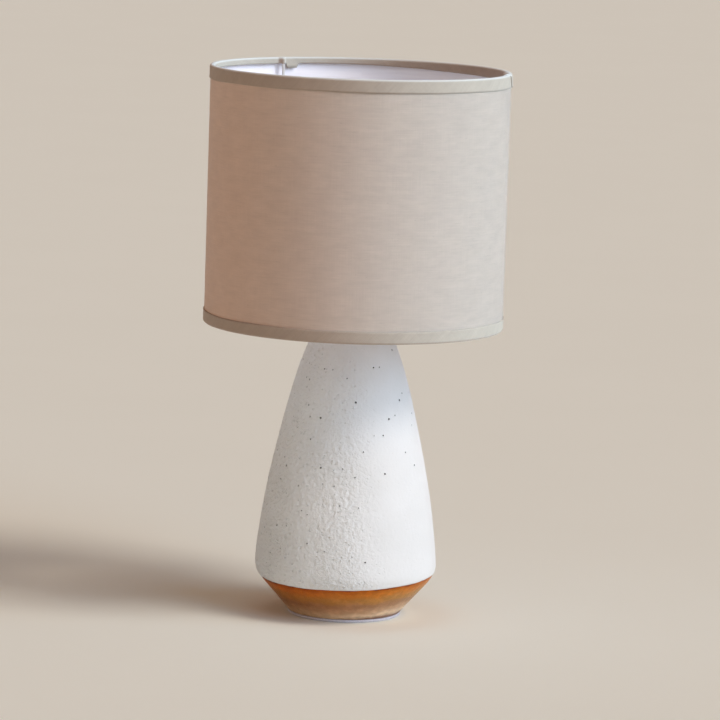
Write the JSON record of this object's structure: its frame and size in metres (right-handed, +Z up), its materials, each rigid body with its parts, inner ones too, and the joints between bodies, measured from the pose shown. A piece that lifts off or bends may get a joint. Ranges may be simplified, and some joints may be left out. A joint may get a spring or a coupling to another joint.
{
  "type": "table lamp with shade",
  "caption": "Table lamp: pitted white and amber ceramic body, turn-switch socket with bulb, detachable harp and a linen drum shade on a three-arm spider.",
  "frame": {"origin": "centre of the foot on the surface the lamp stands on", "axes": "+Z up along the lamp's axis; the switch knob points along -Y, the cord hole along +Y, and the harp lies in the XZ plane"},
  "size_m": [0.254, 0.254, 0.465],
  "materials": {
    "glazed_stoneware": "matt pitted white glaze over a glossy amber cone",
    "felt_pad": "dense pale felt",
    "grommet_plastic": "moulded",
    "zinc_steel": "zinc plated",
    "gasket_rubber": "matt",
    "satin_nickel": "satin nickel plate",
    "paperboard": "fibre tube",
    "black_phenolic": "moulded",
    "brass": "plain",
    "opal_bulb": "frosted opal",
    "white_collar": "moulded",
    "led_board": "white solder mask",
    "bulb_cap_metal": "nickel plated",
    "bulb_insulator_glass": "black glass",
    "solder_contact": "tinned",
    "white_enamel_wire": "white enamel",
    "styrene_liner": "satin white",
    "linen": "greige linen weave"
  },
  "bodies": {
    "base": {"ceramic_body": "glazed_stoneware", "foot_pad": "felt_pad", "cord_bushing": "grommet_plastic", "threaded_pipe": "zinc_steel", "pipe_end_bushing": "grommet_plastic", "bottom_washer": "zinc_steel", "bottom_lock_washer": "zinc_steel", "bottom_hex_nut": "zinc_steel", "neck_gasket": "gasket_rubber", "vase_cap": "satin_nickel", "neck_spacer": "satin_nickel", "harp_saddle": "satin_nickel", "socket_cap": "satin_nickel", "socket_set_screw": "zinc_steel", "socket_shell": "satin_nickel", "socket_insulator_sleeve": "paperboard", "socket_core": "black_phenolic", "socket_screw_shell": "brass", "socket_center_contact": "brass", "terminal_screws": "brass"},
    "switch": {"switch_knob": "black_phenolic", "switch_shaft": "zinc_steel"},
    "bulb": {"bulb_globe": "opal_bulb", "bulb_collar": "white_collar", "bulb_led_board": "led_board", "bulb_screw_cap": "bulb_cap_metal", "bulb_insulator": "bulb_insulator_glass", "bulb_contact": "solder_contact"},
    "harp": {"harp_frame": "satin_nickel"},
    "sleeve_left": {"harp_sleeve_left": "satin_nickel"},
    "sleeve_right": {"harp_sleeve_right": "satin_nickel"},
    "stud": {"harp_stud": "satin_nickel"},
    "shade": {"shade_top_ring": "white_enamel_wire", "shade_bottom_ring": "white_enamel_wire", "spider_arms": "white_enamel_wire", "spider_hub": "white_enamel_wire", "shade_liner": "styrene_liner", "shade_cover": "linen", "shade_trim_top": "linen", "shade_trim_bottom": "linen"},
    "finial": {"finial": "satin_nickel"}
  },
  "joints": [
    {"name": "switch_turn", "type": "hinge", "parent": "base", "child": "switch", "pos_m": [0, -0.02, 0.292], "axis": [0, -1, 0], "continuous": true},
    {"name": "bulb_unscrew", "type": "slide", "parent": "base", "child": "bulb", "axis": [0, 0, 1], "range_m": [0, 0.026]},
    {"name": "harp_lift", "type": "slide", "parent": "base", "child": "harp", "axis": [0, 0, 1], "range_m": [0, 0.03]},
    {"name": "sleeve_left_slide", "type": "slide", "parent": "harp", "child": "sleeve_left", "axis": [0, 0, 1], "range_m": [0, 0.013]},
    {"name": "sleeve_right_slide", "type": "slide", "parent": "harp", "child": "sleeve_right", "axis": [0, 0, 1], "range_m": [0, 0.013]},
    {"name": "harp_swivel", "type": "hinge", "parent": "harp", "child": "stud", "pos_m": [0, 0, 0.4284], "axis": [0, 0, 1], "continuous": true},
    {"name": "shade_lift", "type": "slide", "parent": "stud", "child": "shade", "axis": [0, 0, 1], "range_m": [0, 0.22]},
    {"name": "finial_unscrew", "type": "slide", "parent": "shade", "child": "finial", "axis": [0, 0, 1], "range_m": [0, 0.05]}
  ]
}
